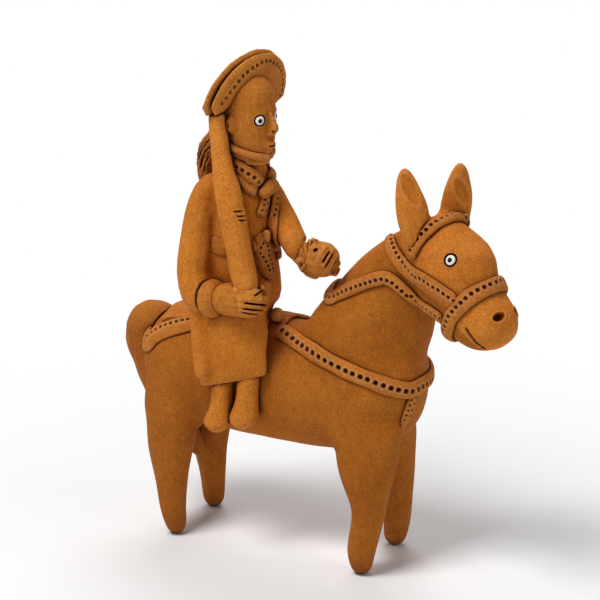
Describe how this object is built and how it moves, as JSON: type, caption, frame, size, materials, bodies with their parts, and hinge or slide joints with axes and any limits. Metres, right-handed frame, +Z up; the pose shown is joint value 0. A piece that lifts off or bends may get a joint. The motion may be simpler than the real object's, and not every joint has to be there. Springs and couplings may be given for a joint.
{
  "type": "horse rider figurine",
  "caption": "Hand-modelled terracotta rider sitting side-saddle on a standing horse, with dotted clay harness, a turned-up hat and a long gun; free-standing ornament.",
  "frame": {"origin": "on the ground, under the middle of the whole figurine's outline seen from above", "axes": "+X the way the horse's body faces, +Y to the horse's left, +Z up"},
  "size_m": [0.2159, 0.0677, 0.2485],
  "materials": {
    "terracotta": "unglazed fired clay, hand-smoothed, matte with fine dark specks and pits",
    "pressed_on_clay": "the same unglazed clay in pressed-on rolls, punched with rows of dots",
    "white_slip": "a thick dot of white slip, matte",
    "black_slip": "a small dot of black slip, slightly shiny"
  },
  "bodies": {
    "root": {"horse_body": "terracotta", "horse_neck": "terracotta", "horse_head": "terracotta", "horse_ear_right": "terracotta", "horse_ear_left": "terracotta", "horse_eye_right": "white_slip", "horse_eye_left": "white_slip", "horse_pupil_right": "black_slip", "horse_pupil_left": "black_slip", "fore_leg_right": "terracotta", "fore_leg_left": "terracotta", "hind_leg_right": "terracotta", "hind_leg_left": "terracotta", "tail": "terracotta", "saddle_pad": "pressed_on_clay", "saddle_cantle": "pressed_on_clay", "saddle_pommel": "pressed_on_clay", "breeching_strap_right": "pressed_on_clay", "breeching_strap_left": "pressed_on_clay", "breast_strap": "pressed_on_clay", "breast_pendant": "pressed_on_clay", "noseband": "pressed_on_clay", "cheek_strap_right": "pressed_on_clay", "cheek_strap_left": "pressed_on_clay", "browband": "pressed_on_clay", "rein": "pressed_on_clay", "rider_coat": "terracotta", "coat_skirt": "terracotta", "rider_leg_right": "terracotta", "rider_leg_left": "terracotta", "sleeve_right": "terracotta", "sleeve_left": "terracotta", "cuff_right": "terracotta", "cuff_left": "terracotta", "hand_right": "terracotta", "hand_left": "terracotta", "rider_head": "terracotta", "rider_eye_right": "white_slip", "rider_eye_left": "white_slip", "rider_pupil_right": "black_slip", "rider_pupil_left": "black_slip", "rider_nose": "terracotta", "rider_lips": "terracotta", "rider_ear_right": "terracotta", "rider_ear_left": "terracotta", "hat_crown": "terracotta", "hat_front_brim": "terracotta", "hat_back_brim": "terracotta", "hair": "terracotta", "scarf_roll": "pressed_on_clay", "scarf_band_right": "pressed_on_clay", "scarf_band_left": "pressed_on_clay", "scarf_knot": "pressed_on_clay", "scarf_tail_short": "pressed_on_clay", "scarf_tail_long": "pressed_on_clay", "belt": "pressed_on_clay", "holster": "pressed_on_clay", "pistol_grip": "pressed_on_clay", "gun_stock": "terracotta", "gun_barrel": "terracotta"}
  },
  "joints": []
}
